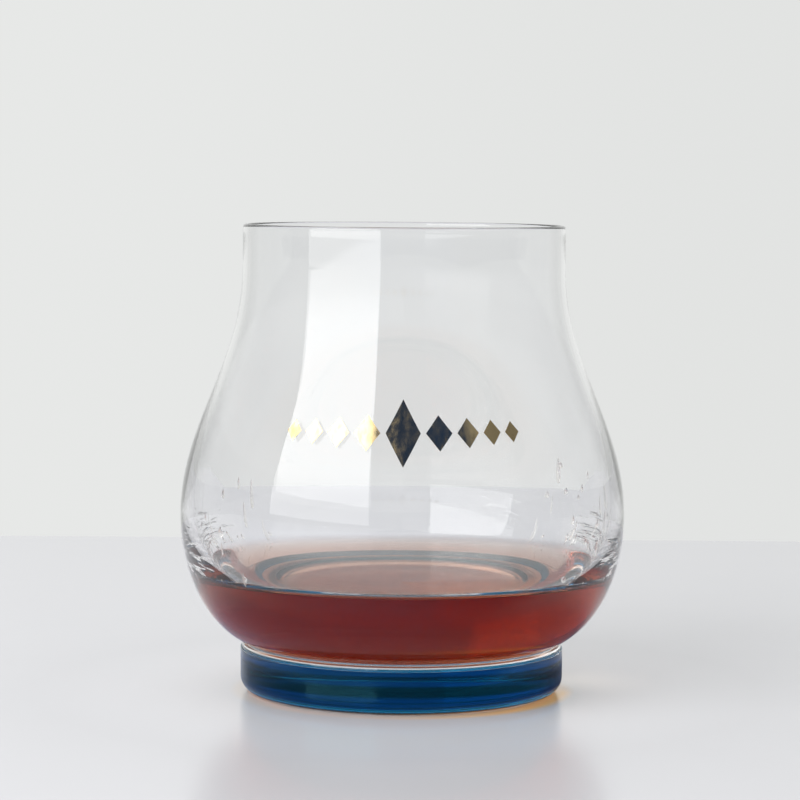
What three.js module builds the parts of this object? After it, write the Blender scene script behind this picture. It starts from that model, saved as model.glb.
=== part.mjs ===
// A whisky tumbler: a blown bowl with a wide belly and an upright neck, fused on a thick clear foot.
// The foot's wall carries a blue lacquer, the bowl holds a pour of whisky, and its front is gilded
// with a row of lozenges. Millimetres, +Z up. The foot stands on z = 0, every glass piece is turned
// about the z axis, and the gilding faces -Y.

import * as THREE from "three";

// Outside of the bowl, from the rim down
const totalHeight = 96.5; // rim above the table
const rimRadius = 33.2; // outside of the rim and of the upright neck
const neckLength = 8.3; // upright stretch below the rim
const neckPull = 21; // how far the neck's upright direction carries down into the shoulder
const bellyPull = 19.2; // how far the belly's upright direction carries up into the shoulder
const bellyRadius = 45.9; // outside of the widest ring
const bellyHeight = 36.7; // widest ring above the table
const tuckPull = 12; // how far the belly's upright direction carries down into the tuck
const waistPull = 8.5; // how far the waist's slope carries up into the tuck
const waistSlope = 23; // degrees above level at which the bowl leaves the waist

// Walls and hollow of the bowl
const rimWall = 1.7;
const bellyWall = 2; // at the widest ring
const floorThickness = 3; // glass of the bowl above its seam on the foot
const floorRadius = 22; // flat middle of the hollow
const floorPull = 12; // how far the floor's level direction carries into the hollow's corner
const cornerPull = 15; // how far the belly's upright direction carries into the hollow's corner

// Foot
const footRadius = 33.4; // over the lacquer
const footHeight = 10; // seam with the bowl above the table
const footEdge = 3.2; // round at the foot's lower edge, over the lacquer
const footShoulder = 0.8; // round at the foot's upper edge
const standWidth = 2.7; // flat ring that the tumbler stands on
const puntDepth = 1.6; // hollow of the underside at its middle

// Blue film on the foot
const lacquerThickness = 0.25;
const lacquerGap = 0.05; // between the film and the glass that it covers
const lacquerHem = 0.3; // bare strip between the film and the standing ring

// Pour
const pourDepth = 12.3; // of the whisky over the hollow's floor
const pourGap = 0.3; // between the whisky and the glass

// Gilding, a row of lozenges that grow smaller to both sides
const giltHeight = 57; // middle line of the row above the table
const giltThickness = 0.15;
const giltGap = 0.1; // between the gilding and the bowl
const middleHalfWidth = 3.4;
const middleHalfHeight = 6.4;
const sideHalfWidth = 2.6; // of the pair beside the middle lozenge
const sideHalfHeight = 3.4;
const sideShrink = 0.84; // of each lozenge to the one before it
const sideCount = 4; // on each side of the middle lozenge
const lozengeSpacing = 1; // bare glass between two tips

// Fineness of the round surfaces
const turnSteps = 48; // facets round the axis
const curveSteps = 12; // along a free curve of an outline
const arcSteps = 5; // along a round of an outline
const lozengeRings = 2; // from a lozenge's middle to its outline
const lozengeSideSteps = 2; // along each side of a lozenge
const searchShare = 1e-6; // of a curve, within which the search for a height on it ends

// Heights and radii that follow from the sizes above
const neckHeight = totalHeight - neckLength;
const floorHeight = footHeight + floorThickness;
const fillHeight = floorHeight + pourDepth;
const footGlassRadius = footRadius - lacquerThickness - lacquerGap;
const seamRadius = footGlassRadius - footShoulder;
const standRadius = footRadius - footEdge;
const puntRadius = standRadius - standWidth;

const at = (radius, height) => new THREE.Vector2(radius, height);

const waistAngle = THREE.MathUtils.degToRad(waistSlope);
const outerTuck = new THREE.CubicBezierCurve(
  at(seamRadius, footHeight),
  at(seamRadius + waistPull * Math.cos(waistAngle), footHeight + waistPull * Math.sin(waistAngle)),
  at(bellyRadius, bellyHeight - tuckPull),
  at(bellyRadius, bellyHeight),
);

// The curve from the belly to the neck, outside or inside of the wall.
function shoulderCurve(belly, neck) {
  return new THREE.CubicBezierCurve(
    at(belly, bellyHeight),
    at(belly, bellyHeight + bellyPull),
    at(neck, neckHeight - neckPull),
    at(neck, neckHeight),
  );
}

const outerShoulder = shoulderCurve(bellyRadius, rimRadius);
const innerShoulder = shoulderCurve(bellyRadius - bellyWall, rimRadius - rimWall);
const innerCorner = new THREE.CubicBezierCurve(
  at(floorRadius, floorHeight),
  at(floorRadius + floorPull, floorHeight),
  at(bellyRadius - bellyWall, bellyHeight - cornerPull),
  at(bellyRadius - bellyWall, bellyHeight),
);

// Points along a round of an outline, between two angles in degrees from the radius direction.
function arc(radius, height, round, from, to, steps = arcSteps) {
  const start = THREE.MathUtils.degToRad(from);
  const end = THREE.MathUtils.degToRad(to);
  return new THREE.EllipseCurve(radius, height, round, round, start, end, end < start).getPoints(steps);
}

// A solid of revolution about z from an outline of radii and heights, run with the solid on its left.
function turned(outline) {
  return new THREE.LatheGeometry(outline, turnSteps).rotateX(Math.PI / 2);
}

function bowlGeometry() {
  const lip = rimWall / 2;
  return turned([
    at(0, footHeight),
    ...outerTuck.getPoints(curveSteps),
    ...outerShoulder.getPoints(curveSteps).slice(1),
    ...arc(rimRadius - lip, totalHeight - lip, lip, 0, 180, 2 * arcSteps),
    ...innerShoulder.getPoints(curveSteps).reverse(),
    ...innerCorner.getPoints(curveSteps).reverse().slice(1),
    at(0, floorHeight),
  ]);
}

function footGeometry() {
  const round = footEdge - lacquerThickness - lacquerGap;
  const puntRound = (puntRadius ** 2 + puntDepth ** 2) / (2 * puntDepth);
  const puntSpread = THREE.MathUtils.radToDeg(Math.asin(puntRadius / puntRound));
  return turned([
    ...arc(0, puntDepth - puntRound, puntRound, 90, 90 - puntSpread),
    at(standRadius, 0),
    ...arc(standRadius, footEdge, round, -90, 0),
    ...arc(seamRadius, footHeight - footShoulder, footShoulder, 0, 90),
    at(0, footHeight),
  ]);
}

function lacquerGeometry() {
  const hemAngle = THREE.MathUtils.radToDeg(Math.asin(lacquerHem / footEdge)) - 90;
  const inner = footEdge - lacquerThickness;
  const top = footHeight - footShoulder;
  const outside = arc(standRadius, footEdge, footEdge, hemAngle, 0);
  const inside = arc(standRadius, footEdge, inner, 0, hemAngle);
  return turned([
    ...outside,
    at(footRadius, top),
    at(footRadius - lacquerThickness, top),
    ...inside,
    outside[0].clone(),
  ]);
}

// Outline of the hollow, moved off the glass by a gap and cut level at the fill height.
function whiskyGeometry() {
  const wall = [innerCorner, innerShoulder].flatMap((curve) =>
    Array.from({ length: curveSteps + 1 }, (_, step) => {
      const point = curve.getPoint(step / curveSteps);
      const along = curve.getTangent(step / curveSteps);
      return at(point.x - along.y * pourGap, point.y + along.x * pourGap);
    }),
  );
  const above = wall.findIndex((point) => point.y >= fillHeight);
  const share = (fillHeight - wall[above - 1].y) / (wall[above].y - wall[above - 1].y);
  const edge = wall[above - 1].clone().lerp(wall[above], share);
  return turned([at(0, floorHeight + pourGap), ...wall.slice(0, above), edge, at(0, fillHeight)]);
}

// Outside radius of the bowl at a height, found on the curve that reaches it.
function outerRadius(height) {
  if (height >= neckHeight) {
    return rimRadius;
  }
  const curve = height > bellyHeight ? outerShoulder : outerTuck;
  let low = 0;
  let high = 1;
  while (high - low > searchShare) {
    const middle = (low + high) / 2;
    if (curve.getPoint(middle).y < height) {
      low = middle;
    } else {
      high = middle;
    }
  }
  return curve.getPoint(low).x;
}

// A thin lozenge that follows the bowl, centred at an arc length from the front along the middle line.
function lozengeGeometry(arcOffset, halfWidth, halfHeight) {
  const middleRadius = outerRadius(giltHeight);
  const corners = [at(halfWidth, 0), at(0, halfHeight), at(-halfWidth, 0), at(0, -halfHeight)];
  const outline = corners.flatMap((corner, side) =>
    Array.from({ length: lozengeSideSteps }, (_, step) =>
      corner.clone().lerp(corners[(side + 1) % corners.length], step / lozengeSideSteps),
    ),
  );
  const around = outline.length;
  const positions = [];
  const onBowl = (point, lift) => {
    const height = giltHeight + point.y;
    const angle = (arcOffset + point.x) / middleRadius;
    const radius = outerRadius(height) + lift;
    positions.push(radius * Math.sin(angle), -radius * Math.cos(angle), height);
  };
  for (const lift of [giltGap + giltThickness, giltGap]) {
    onBowl(at(0, 0), lift);
    for (let ring = 1; ring <= lozengeRings; ring += 1) {
      outline.forEach((point) => onBowl(point.clone().multiplyScalar(ring / lozengeRings), lift));
    }
  }
  const layer = 1 + lozengeRings * around;
  const vertex = (ring, side) => (ring === 0 ? 0 : 1 + (ring - 1) * around + (side % around));
  const triangles = [];
  for (let side = 0; side < around; side += 1) {
    for (let ring = 0; ring < lozengeRings; ring += 1) {
      const [a, b] = [vertex(ring, side), vertex(ring, side + 1)];
      const [c, d] = [vertex(ring + 1, side), vertex(ring + 1, side + 1)];
      triangles.push(a, c, d, layer + a, layer + d, layer + c);
      if (ring > 0) {
        triangles.push(a, d, b, layer + a, layer + b, layer + d);
      }
    }
    const [edge, next] = [vertex(lozengeRings, side), vertex(lozengeRings, side + 1)];
    triangles.push(edge, layer + edge, layer + next, edge, layer + next, next);
  }
  return new THREE.BufferGeometry()
    .setAttribute("position", new THREE.Float32BufferAttribute(positions, 3))
    .setIndex(triangles);
}

const finishes = {
  clearGlass: { color: 0xeaf0ef, roughness: 0.03, metalness: 0, transparent: true, opacity: 0.3 },
  blueLacquer: { color: 0x0a3a78, roughness: 0.08, metalness: 0, transparent: true, opacity: 0.8 },
  whisky: { color: 0x8a2f22, roughness: 0.02, metalness: 0, transparent: true, opacity: 0.75 },
  gilding: { color: 0xc9a24a, roughness: 0.2, metalness: 1 },
};

const tumbler = new THREE.Group();

function addPiece(name, geometry, finish) {
  const piece = new THREE.Mesh(geometry, new THREE.MeshStandardMaterial(finish));
  piece.name = name;
  tumbler.add(piece);
}

addPiece("bowl", bowlGeometry(), finishes.clearGlass);
addPiece("foot", footGeometry(), finishes.clearGlass);
addPiece("foot_lacquer", lacquerGeometry(), finishes.blueLacquer);
addPiece("whisky", whiskyGeometry(), finishes.whisky);
addPiece("gilt_lozenge_middle", lozengeGeometry(0, middleHalfWidth, middleHalfHeight), finishes.gilding);

let tip = middleHalfWidth;
for (let place = 1; place <= sideCount; place += 1) {
  const shrink = sideShrink ** (place - 1);
  const halfWidth = sideHalfWidth * shrink;
  const halfHeight = sideHalfHeight * shrink;
  const offset = tip + lozengeSpacing + halfWidth;
  addPiece(`gilt_lozenge_left_${place}`, lozengeGeometry(-offset, halfWidth, halfHeight), finishes.gilding);
  addPiece(`gilt_lozenge_right_${place}`, lozengeGeometry(offset, halfWidth, halfHeight), finishes.gilding);
  tip = offset + halfWidth;
}

export default tumbler;
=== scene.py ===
"""Dresses a whisky tumbler: clear glass on a blue foot, a pour of whisky and a gilt row."""

import logging
import math
from collections.abc import Iterable, Sequence
from dataclasses import dataclass, field
from enum import Enum, IntEnum

import bpy
from mathutils import Euler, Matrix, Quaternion, Vector
from mathutils.geometry import interpolate_bezier


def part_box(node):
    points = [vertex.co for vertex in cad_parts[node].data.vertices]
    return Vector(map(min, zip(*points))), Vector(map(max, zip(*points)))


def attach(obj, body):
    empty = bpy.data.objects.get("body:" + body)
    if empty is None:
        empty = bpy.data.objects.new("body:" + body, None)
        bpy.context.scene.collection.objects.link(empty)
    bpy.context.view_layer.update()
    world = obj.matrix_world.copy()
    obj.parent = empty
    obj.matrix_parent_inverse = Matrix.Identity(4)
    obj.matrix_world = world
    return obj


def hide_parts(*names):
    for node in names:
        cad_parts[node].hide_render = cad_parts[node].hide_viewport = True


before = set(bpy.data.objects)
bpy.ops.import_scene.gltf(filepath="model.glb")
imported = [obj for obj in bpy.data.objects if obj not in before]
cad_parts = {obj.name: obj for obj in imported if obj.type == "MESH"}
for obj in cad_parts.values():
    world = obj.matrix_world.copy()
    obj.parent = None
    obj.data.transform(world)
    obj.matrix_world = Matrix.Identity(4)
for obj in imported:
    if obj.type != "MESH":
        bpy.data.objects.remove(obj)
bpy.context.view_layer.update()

LOG = logging.getLogger("tumbler")
MM = 0.001
BODY = "root"
TOUCHING = 1e-7  # metres within which two points are one
LIGHT_BOUNCES = 32
GLOSS_BOUNCES = 12

Socket = bpy.types.NodeSocket
Outputs = bpy.types.NodeOutputs
Piece = bpy.types.Object
Place = Sequence[float]
Colour = tuple[float, float, float]
Span = tuple[float, float]

RISE: Span = (0.0, 1.0)
FALL: Span = (1.0, 0.0)


class Contact(IntEnum):
    """What a ring of faces meets."""

    AIR = 0
    PIECE = 1
    DROPS = 2


class Attribute(Enum):
    """Names of the values that meshes carry for their finishes."""

    CONTACT = "contact"


class SocketKind(Enum):
    """Kinds of value that a Geometry Nodes tree takes."""

    GEOMETRY = "NodeSocketGeometry"
    FLOAT = "NodeSocketFloat"
    INT = "NodeSocketInt"
    OBJECT = "NodeSocketObject"
    MATERIAL = "NodeSocketMaterial"

    def each(self, *labels: str) -> dict[str, "SocketKind"]:
        """This kind for every label."""
        return dict.fromkeys(labels, self)


class NodeWriter:
    """Adds nodes to a shader or geometry tree and links them as it goes."""

    def __init__(self, tree: bpy.types.NodeTree) -> None:
        """Keeps the tree that is written to."""
        self.tree = tree

    def add(self, kind: str, *values: object, **settings: object) -> Socket:
        """Adds a node and feeds its inputs.

        Args:
            kind: Blender's name of the node type.
            values: A value or an output for each usable input, in order. None leaves one as it is.
            settings: Properties of the node, set before its inputs.

        Returns:
            The node's first usable output.
        """
        node = self.tree.nodes.new(kind)
        for name, value in settings.items():
            setattr(node, name, value)
        inputs = [socket for socket in node.inputs if socket.enabled]
        for socket, value in zip(inputs, values):
            self.feed(socket, value)
        return next(socket for socket in node.outputs if socket.enabled)

    def feed(self, socket: Socket, value: object) -> None:
        """Links an output to an input, or sets the input's own value.

        Args:
            socket: The input.
            value: The output or the value. None leaves the input as it is.
        """
        if isinstance(value, Socket):
            self.tree.links.new(value, socket)
        elif value is not None:
            socket.default_value = value

    def fill(self, node: bpy.types.Node, values: dict[str, object]) -> None:
        """Feeds a node's inputs by their labels."""
        for label, value in values.items():
            self.feed(node.inputs[label], value)

    def calc(self, operation: str, *values: object) -> Socket:
        """Adds a Math node and returns its result."""
        return self.add("ShaderNodeMath", *values, operation=operation)

    def product(self, first: object, second: object) -> Socket:
        """Multiplies two numbers."""
        return self.calc("MULTIPLY", first, second)

    def vector(self, operation: str, *values: object) -> Socket:
        """Adds a Vector Math node and returns its result."""
        return self.add("ShaderNodeVectorMath", *values, operation=operation)

    def parts(self, vector: Socket) -> Outputs:
        """Splits a vector into X, Y and Z."""
        return self.add("ShaderNodeSeparateXYZ", vector).node.outputs

    def joined(self, x: object, y: object, z: object) -> Socket:
        """Joins three numbers into a vector."""
        return self.add("ShaderNodeCombineXYZ", x, y, z)

    def turn(self, parts: Outputs) -> Socket:
        """The angle of a place or direction about z, from the front towards the right."""
        return self.calc("ARCTAN2", parts["X"], self.product(parts["Y"], -1))

    def ramp(self, value: object, over: Sequence[object], to: Sequence[object] = RISE) -> Socket:
        """Turns a value that goes over one span into one that goes smoothly over another."""
        return self.add("ShaderNodeMapRange", value, *over, *to, interpolation_type="SMOOTHSTEP")

    def mix(self, share: object, first: object, second: object) -> Socket:
        """Mixes two numbers by the share of the second."""
        return self.add("ShaderNodeMix", share, first, second)

    def colours(self, share: object, first: object, second: object, blend: str = "MIX") -> Socket:
        """Mixes two colours, given as outputs or as three channels, by the share of the second."""
        tones = [tone if isinstance(tone, Socket) else (*tone, 1) for tone in (first, second)]
        return self.add("ShaderNodeMix", share, *tones, data_type="RGBA", blend_type=blend)

    def place(self) -> Socket:
        """The place on a surface, in Object coordinates."""
        return self.add("ShaderNodeTexCoord").node.outputs["Object"]

    def noise(self, scale: float, detail: float = 2.0, stretch: Place = (1, 1, 1)) -> Socket:
        """Adds a noise in Object coordinates.

        Args:
            scale: Repeats in a metre.
            detail: Octaves of finer noise.
            stretch: Factor on the scale along each axis.

        Returns:
            The noise's value, from 0 to 1.
        """
        place = self.add("ShaderNodeMapping", self.place(), None, None, stretch)
        return self.add("ShaderNodeTexNoise", place, scale, detail)

    def bump(self, height: Socket, depth: float, normal: Socket | None = None) -> Socket:
        """Adds a bump of a depth in metres and returns the bent normal."""
        return self.add("ShaderNodeBump", 1.0, depth, None, height, normal)

    def mirrored(self) -> Socket:
        """1 where gloss mirrors what is shaded, and 0 where it is seen straight or through glass."""
        path = self.add("ShaderNodeLightPath").node.outputs
        return self.calc("SUBTRACT", path["Is Glossy Ray"], path["Is Transmission Ray"])


@dataclass(frozen=True)
class Finish:
    """A surface finish, which makes its material once."""

    name: str

    def material(self) -> bpy.types.Material:
        """The finish as a material.

        Returns:
            The material of this name, written when it is first asked for.
        """
        made = bpy.data.materials.get(self.name)
        if made is None:
            made = bpy.data.materials.new(self.name)
            made.use_nodes = True
            shader = made.node_tree.nodes["Principled BSDF"]
            self.write(NodeWriter(made.node_tree), shader)
        return made

    def write(self, nodes: NodeWriter, shader: bpy.types.Node) -> None:
        """Writes the finish into a new material.

        Args:
            nodes: Writer for the material's tree.
            shader: The tree's Principled node.
        """
        raise NotImplementedError


@dataclass(frozen=True)
class ClearGlass(Finish):
    """Blown or pressed clear glass, with the faint ripple that hot forming leaves."""

    ior: float = 1.52
    tint: Colour = (0.993, 0.995, 0.998)
    ripple_scale: float = 60.0
    ripple_stretch: Place = (1, 1, 0.35)
    ripple_depth: float = 0.004 * MM
    smear: float = 0.012  # roughness of the dullest places
    smear_scale: float = 42.0
    smear_span: Span = (0.45, 0.75)

    def write(self, nodes: NodeWriter, shader: bpy.types.Node) -> None:
        """Writes the glass.

        Args:
            nodes: Writer for the material's tree.
            shader: The tree's Principled node.
        """
        cloud = nodes.noise(self.smear_scale)
        ripple = nodes.noise(self.ripple_scale, 1.0, self.ripple_stretch)
        nodes.fill(shader, {
            "Base Color": (*self.tint, 1),
            "Transmission Weight": 1,
            "IOR": self.ior,
            "Roughness": nodes.ramp(cloud, self.smear_span, (0.0, self.smear)),
            "Normal": nodes.bump(ripple, self.ripple_depth),
        })


@dataclass(frozen=True)
class WettedGlass(ClearGlass):
    """Clear glass that the whisky wetted on both sides of the bowl.

    The film lies in slanting streaks just above the pour and tears into blobs higher up.
    """

    lowest: float = 0.0
    wall_radius: float = 43 * MM
    height: float = 17 * MM
    spread: float = math.radians(33)  # to each side of the bowl's left and right
    spread_power: float = 4
    thickness: float = 0.4 * MM
    ripples: float = 220.0  # in a metre
    ripple_detail: float = 2.5
    flow: float = 0.15  # a streak's width to its length
    slope: float = 0.25
    wet: float = 0.4  # noise from which a wet place has film
    dry: float = 0.75  # noise from which a dry place has film
    softness: float = 0.2

    def write(self, nodes: NodeWriter, shader: bpy.types.Node) -> None:
        """Writes the wet glass.

        Args:
            nodes: Writer for the material's tree.
            shader: The tree's Principled node.
        """
        super().write(nodes, shader)
        part = nodes.parts(nodes.place())
        angle = nodes.turn(part)
        climb = nodes.ramp(part["Z"], (self.lowest, self.lowest + self.height))
        aside = nodes.calc("SUBTRACT", nodes.calc("ABSOLUTE", angle), math.pi / 2)
        aside = nodes.calc("ABSOLUTE", nodes.calc("DIVIDE", aside, self.spread))
        aside = nodes.calc("POWER", aside, self.spread_power)
        dryness = nodes.calc("MINIMUM", nodes.calc("ADD", climb, aside), 1)
        along = nodes.product(angle, self.wall_radius)
        tilted = nodes.calc("MULTIPLY_ADD", nodes.calc("ABSOLUTE", along), -self.slope, part["Z"])
        streaks = nodes.joined(nodes.product(along, self.flow), 0, tilted)
        blobs = nodes.joined(along, 0, part["Z"])
        layout = nodes.add("ShaderNodeMix", climb, streaks, blobs, data_type="VECTOR")
        ripple = nodes.add("ShaderNodeTexNoise", layout, self.ripples, self.ripple_detail)
        edge = nodes.mix(dryness, self.wet, self.dry)
        film = nodes.ramp(ripple, (edge, nodes.calc("ADD", edge, self.softness)))
        bare = shader.inputs["Normal"].links[0].from_socket
        nodes.fill(shader, {"Normal": nodes.bump(film, self.thickness, bare)})


@dataclass(frozen=True)
class JoinedFace(Finish):
    """A face that lies on another piece with no air between, so that light passes straight on."""

    def write(self, nodes: NodeWriter, shader: bpy.types.Node) -> None:
        """Writes the clear face.

        Args:
            nodes: Writer for the material's tree.
            shader: The tree's Principled node, which is taken out.
        """
        output = nodes.tree.nodes["Material Output"]
        nodes.tree.nodes.remove(shader)
        nodes.fill(output, {"Surface": nodes.add("ShaderNodeBsdfTransparent")})


@dataclass(frozen=True)
class BlueLacquer(Finish):
    """See-through blue lacquer, sprayed unevenly, with painted shade darkening a band round its middle.

    With an ior of 1 it only tints, as the film's inside face does.
    """

    ior: float = 1.52
    thin: Colour = (0.006, 0.2, 0.43)
    thick: Colour = (0.002, 0.17, 0.37)
    gloss: Colour = (0.22, 0.85, 1.0)
    cloud_scale: float = 90.0
    cloud_detail: float = 3.0
    cloud_stretch: Place = (1, 1, 0.4)
    # Painted shade: a darker band round the lacquer's middle, standing in for the dark band that the foot's
    # inner reflections show
    shade_band_low: float = 3.5 * MM
    shade_band_high: float = 6.0 * MM
    shade_band_blur: float = 0.4 * MM
    shade_band_tint: Colour = (0.8, 0.7, 0.45)
    rough_span: Span = (0.3, 0.8)
    roughness: Span = (0.01, 0.05)

    def write(self, nodes: NodeWriter, shader: bpy.types.Node) -> None:
        """Writes the lacquer.

        Args:
            nodes: Writer for the material's tree.
            shader: The tree's Principled node.
        """
        cloud = nodes.noise(self.cloud_scale, self.cloud_detail, self.cloud_stretch)
        height = nodes.parts(nodes.place())["Z"]
        # The painted shade band, its edges blurred by the spray's cloud
        rise = nodes.calc("MULTIPLY_ADD", cloud, self.shade_band_blur, height)
        over = nodes.ramp(rise, (self.shade_band_low, self.shade_band_low + 2 * self.shade_band_blur))
        under = nodes.ramp(rise, (self.shade_band_high, self.shade_band_high + self.shade_band_blur), FALL)
        sprayed = nodes.colours(cloud, self.thin, self.thick)
        nodes.fill(shader, {
            "Base Color": nodes.colours(nodes.product(over, under), sprayed, self.shade_band_tint, "MULTIPLY"),
            "Transmission Weight": 1,
            "IOR": self.ior,
            "Specular Tint": (*self.gloss, 1),
            "Roughness": nodes.ramp(cloud, self.rough_span, self.roughness) if self.ior > 1 else 0,
        })


@dataclass(frozen=True)
class WhiskyLiquid(Finish):
    """Whisky, which bends light less than glass and takes its colour from its depth."""

    ior: float = 1.36
    glass_ior: float = 1.52
    colour: Colour = (0.74, 0.3, 0.02)
    density: float = 100.0
    ripple_scale: float = 45.0
    ripple_depth: float = 0.002 * MM

    def write(self, nodes: NodeWriter, shader: bpy.types.Node) -> None:
        """Writes the liquid.

        Args:
            nodes: Writer for the material's tree.
            shader: The tree's Principled node.
        """
        # The socket's own value serves where its link isn't followed
        shader.inputs["IOR"].default_value = self.ior
        contact = nodes.add("ShaderNodeAttribute", attribute_name=Attribute.CONTACT.value)
        at_glass = self.ior / self.glass_ior
        ripple = nodes.noise(self.ripple_scale, 1.0)
        nodes.fill(shader, {
            "Base Color": (1, 1, 1, 1),
            "Transmission Weight": 1,
            "Roughness": 0,
            "IOR": nodes.calc("MULTIPLY_ADD", contact.node.outputs["Fac"], at_glass - self.ior, self.ior),
            "Normal": nodes.bump(ripple, self.ripple_depth),
        })
        absorption = nodes.add("ShaderNodeVolumeAbsorption", (*self.colour, 1), self.density)
        nodes.fill(nodes.tree.nodes["Material Output"], {"Volume": absorption})


@dataclass(frozen=True)
class Gilding(Finish):
    """Fired gold, polished but with the grain of the brush."""

    bright: Colour = (0.86, 0.66, 0.33)
    worn: Colour = (0.62, 0.45, 0.2)
    worn_span: Span = (0.5, 0.8)
    worn_most: float = 0.7
    grain_scale: float = 900.0
    grain_detail: float = 4.0
    grain_stretch: Place = (1, 1, 0.3)
    grain_depth: float = 0.004 * MM
    rough_span: Span = (0.3, 0.8)
    roughness: Span = (0.12, 0.3)

    def write(self, nodes: NodeWriter, shader: bpy.types.Node) -> None:
        """Writes the gilding.

        Args:
            nodes: Writer for the material's tree.
            shader: The tree's Principled node.
        """
        grain = nodes.noise(self.grain_scale, self.grain_detail, self.grain_stretch)
        wear = nodes.ramp(grain, self.worn_span, (0.0, self.worn_most))
        nodes.fill(shader, {
            "Metallic": 1,
            "Base Color": nodes.colours(wear, self.bright, self.worn),
            "Roughness": nodes.ramp(grain, self.rough_span, self.roughness),
            "Normal": nodes.bump(grain, self.grain_depth),
        })


@dataclass(frozen=True)
class PaleTable(Finish):
    """Smooth pale laminate with a soft gloss and the warm light that the whisky throws round the foot.

    As gloss shows it, painted shade darkens it at the front and near the foot.
    """

    colour: Colour = (0.768, 0.763, 0.803)
    roughness: float = 0.2
    specular: float = 0.5
    mottle: float = 0.15
    mottle_scale: float = 25.0
    mottle_detail: float = 3.0
    # Painted shade: the table darkens towards the right, away from the panel
    dim_right: float = 0.94
    right_shade_span: Span = (-100 * MM, 160 * MM)  # from the left to the right
    # Painted shade: the table's colour as gloss shows it near the foot and at the front, darker still on the
    # right
    gloss_shade: Colour = (0.4, 0.46, 0.66)
    right_gloss_shade: float = 0.6
    dull_roughness: float = 0.6
    front: Span = (-55 * MM, -20 * MM)
    near: Span = (50 * MM, 85 * MM)  # from the foot's middle
    # Painted light: the table is made paler near the foot, where the glass shades it; the mottle uses the
    # same paler colour
    mottle_and_painted_light_lift: float = 1.2
    # Painted light: a glow on the table where gloss shows it away from the foot
    far_glow: float = 0.12
    foot_radius: float = 33.4 * MM
    # Painted light: the amber that the whisky throws round the foot, as colour and as glow
    amber: Colour = (1.0, 0.6, 0.22)
    amber_glow: float = 0.12
    painted_amber_share: float = 0.85
    ring_width: float = 3 * MM
    ring_least: float = 0.2
    ring_grows: Span = (-math.radians(20), math.radians(50))
    ring_ends: Span = (math.radians(80), math.radians(110))
    patch: Colour = (1.0, 0.9, 0.75)
    patch_turn: float = math.radians(108)
    patch_spread: float = math.radians(28)
    patch_reach: float = 58 * MM

    def thrown(self, nodes: NodeWriter, place: Outputs, away: Socket) -> tuple[Socket, Socket]:
        """Light that the pour throws on the table, strongest on the right.

        Args:
            nodes: Writer for the material's tree.
            place: Parts of the place on the table.
            away: Distance from the foot's middle.

        Returns:
            Shares of an amber ring round the foot and of a bright patch beside it.
        """
        turn = nodes.turn(place)
        ring = nodes.ramp(away, (self.foot_radius, self.foot_radius + self.ring_width), FALL)
        ring = nodes.product(ring, nodes.ramp(turn, self.ring_grows, (self.ring_least, 1.0)))
        ring = nodes.product(ring, nodes.ramp(turn, self.ring_ends, FALL))
        aside = nodes.calc("ABSOLUTE", nodes.calc("SUBTRACT", turn, self.patch_turn))
        patch = nodes.ramp(aside, (0.0, self.patch_spread), FALL)
        return ring, nodes.product(patch, nodes.ramp(away, (self.foot_radius, self.patch_reach), FALL))

    def write(self, nodes: NodeWriter, shader: bpy.types.Node) -> None:
        """Writes the laminate.

        Args:
            nodes: Writer for the material's tree.
            shader: The tree's Principled node.
        """
        where = nodes.place()
        place = nodes.parts(where)
        away = nodes.vector("LENGTH", where).node.outputs["Value"]
        near = nodes.ramp(away, self.near, FALL)
        front = nodes.ramp(place["Y"], self.front, FALL)
        right = nodes.ramp(place["X"], (0.0, self.foot_radius))
        mirrored = nodes.mirrored()
        shaded = nodes.product(mirrored, nodes.calc("MAXIMUM", front, near))
        ring, patch = self.thrown(nodes, place, away)

        # Painted light near the foot, mixed with the mottle's paler patches
        paler = [channel * self.mottle_and_painted_light_lift for channel in self.colour]
        mottle = nodes.product(nodes.noise(self.mottle_scale, self.mottle_detail), self.mottle)
        lift = nodes.calc("MAXIMUM", mottle, nodes.ramp(away, (self.foot_radius, self.near[1]), FALL))
        # Painted shade towards the right, away from the panel
        right_shade = nodes.ramp(place["X"], self.right_shade_span, (1.0, self.dim_right))
        colour = nodes.colours(lift, self.colour, paler)
        colour = nodes.vector("MULTIPLY", colour, nodes.joined(right_shade, right_shade, right_shade))
        # Painted shade where gloss shows the table near the foot and at the front, deeper to the right
        gloss = [channel * share for channel, share in zip(self.colour, self.gloss_shade)]
        right_gloss = [channel * self.right_gloss_shade for channel in gloss]
        colour = nodes.colours(shaded, colour, nodes.colours(right, gloss, right_gloss))
        # Painted amber light round the foot
        colour = nodes.colours(nodes.product(ring, self.painted_amber_share), colour, self.amber)

        dull = nodes.product(mirrored, nodes.calc("SUBTRACT", 1, near))
        warm = nodes.colours(ring, self.patch, self.amber)
        # Painted glow of the far table as gloss shows it
        far = nodes.product(nodes.calc("SUBTRACT", mirrored, shaded), self.far_glow)
        # Painted glow of the amber light thrown round the foot
        thrown = nodes.product(nodes.calc("MAXIMUM", ring, patch), self.amber_glow)
        nodes.fill(shader, {
            "Base Color": colour,
            "Specular IOR Level": nodes.ramp(nodes.product(shaded, right), RISE, (self.specular, 0.0)),
            "Roughness": nodes.mix(dull, self.roughness, self.dull_roughness),
            "Emission Color": nodes.colours(mirrored, warm, self.colour),
            "Emission Strength": nodes.mix(mirrored, thrown, far),
        })


CLEAR_GLASS = ClearGlass("polished_glass")
JOINED_FACE = JoinedFace("joined_face")
BLUE_LACQUER = BlueLacquer("blue_film")
BLUE_BACKING = BlueLacquer("blue_film_inside", ior=1.0)
WHISKY = WhiskyLiquid("whisky_liquid")
THIN_WHISKY = ClearGlass("whisky_drops", ior=1.36, tint=(1.0, 0.985, 0.96), smear=0.02)
GILDING = Gilding("fired_gold")
TABLE = PaleTable("pale_laminate")


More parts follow.
